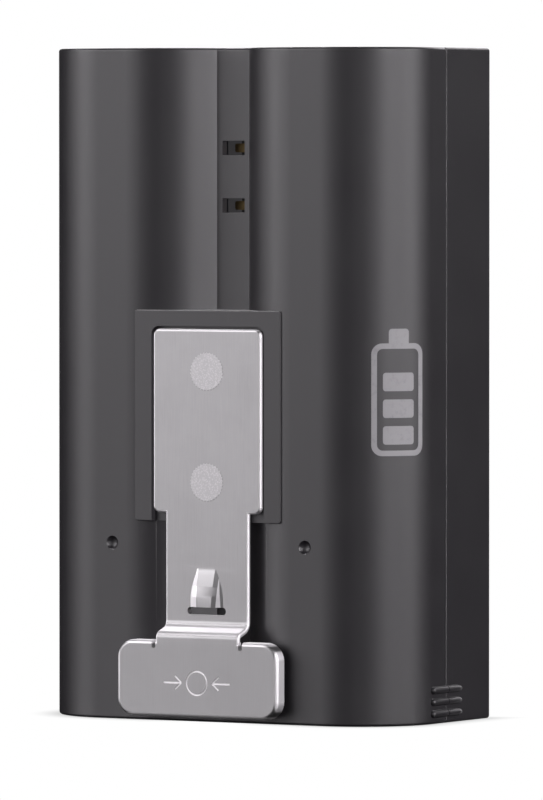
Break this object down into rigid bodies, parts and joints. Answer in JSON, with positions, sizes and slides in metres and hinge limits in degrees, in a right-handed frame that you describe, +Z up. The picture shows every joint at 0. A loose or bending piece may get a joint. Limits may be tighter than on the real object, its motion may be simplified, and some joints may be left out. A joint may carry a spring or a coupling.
{
  "type": "video doorbell battery pack",
  "caption": "Rechargeable quick-release battery pack of a video doorbell: two-lobed dark case, contact groove, charging socket and a sprung steel push latch.",
  "frame": {"origin": "middle of the bottom end face, on the plane through both cells' axes", "axes": "+Z up along the cells, -Y towards the lobed front with the latch, +X to the right seen from the front"},
  "size_m": [0.0448, 0.023, 0.07],
  "materials": {
    "case_plastic": "satin, finely textured",
    "latch_steel": "finely brushed, bright sheared edges",
    "rivet_steel": "knurl-struck flush head",
    "cell_wrap": "shrink wrap",
    "nickel": "plain nickel strip",
    "fibre": "insulating fibre",
    "inner_plastic": "black moulded",
    "gold": "gold plated",
    "circuit_board": "solder mask",
    "socket_steel": "tin plated",
    "amber_light": "tinted resin",
    "green_light": "tinted resin",
    "clear_plastic": "frosted clear",
    "chip_epoxy": "moulded epoxy",
    "ferrite": "ferrite",
    "capacitor": "fired ceramic",
    "label_film": "plain film with no printing",
    "foam": "closed-cell foam"
  },
  "bodies": {
    "pack": {"front_case": "case_plastic", "rear_case": "case_plastic", "rear_label": "label_film", "latch_root": "latch_steel", "rivet_upper": "rivet_steel", "rivet_lower": "rivet_steel", "cell_left_can": "cell_wrap", "cell_right_can": "cell_wrap", "cell_left_cap": "nickel", "cell_right_cap": "nickel", "cell_left_ring": "fibre", "cell_right_ring": "fibre", "negative_bus": "nickel", "positive_bus": "nickel", "negative_tail": "nickel", "positive_tail": "nickel", "bottom_pad": "fibre", "top_pad": "fibre", "contact_carrier": "inner_plastic", "contact_upper": "gold", "contact_lower": "gold", "control_board": "circuit_board", "usb_shell": "socket_steel", "usb_tongue": "inner_plastic", "led_amber": "amber_light", "led_green": "green_light", "light_pipe_amber": "clear_plastic", "light_pipe_green": "clear_plastic", "charger_chip": "chip_epoxy", "protection_chip": "chip_epoxy", "power_switch": "chip_epoxy", "power_inductor": "ferrite", "capacitor_input": "capacitor", "capacitor_output": "capacitor", "sense_resistor": "chip_epoxy", "temperature_sensor": "chip_epoxy", "foam_strip_left": "foam", "foam_strip_right": "foam"},
    "latch": {"latch_tab": "latch_steel"}
  },
  "joints": [
    {"name": "latch_press", "type": "hinge", "parent": "pack", "child": "latch", "pos_m": [0, -0.0103, 0.02105], "axis": [1, 0, 0], "range_deg": [0, 2.2], "stiffness_Nm_per_rad": 1.5}
  ]
}
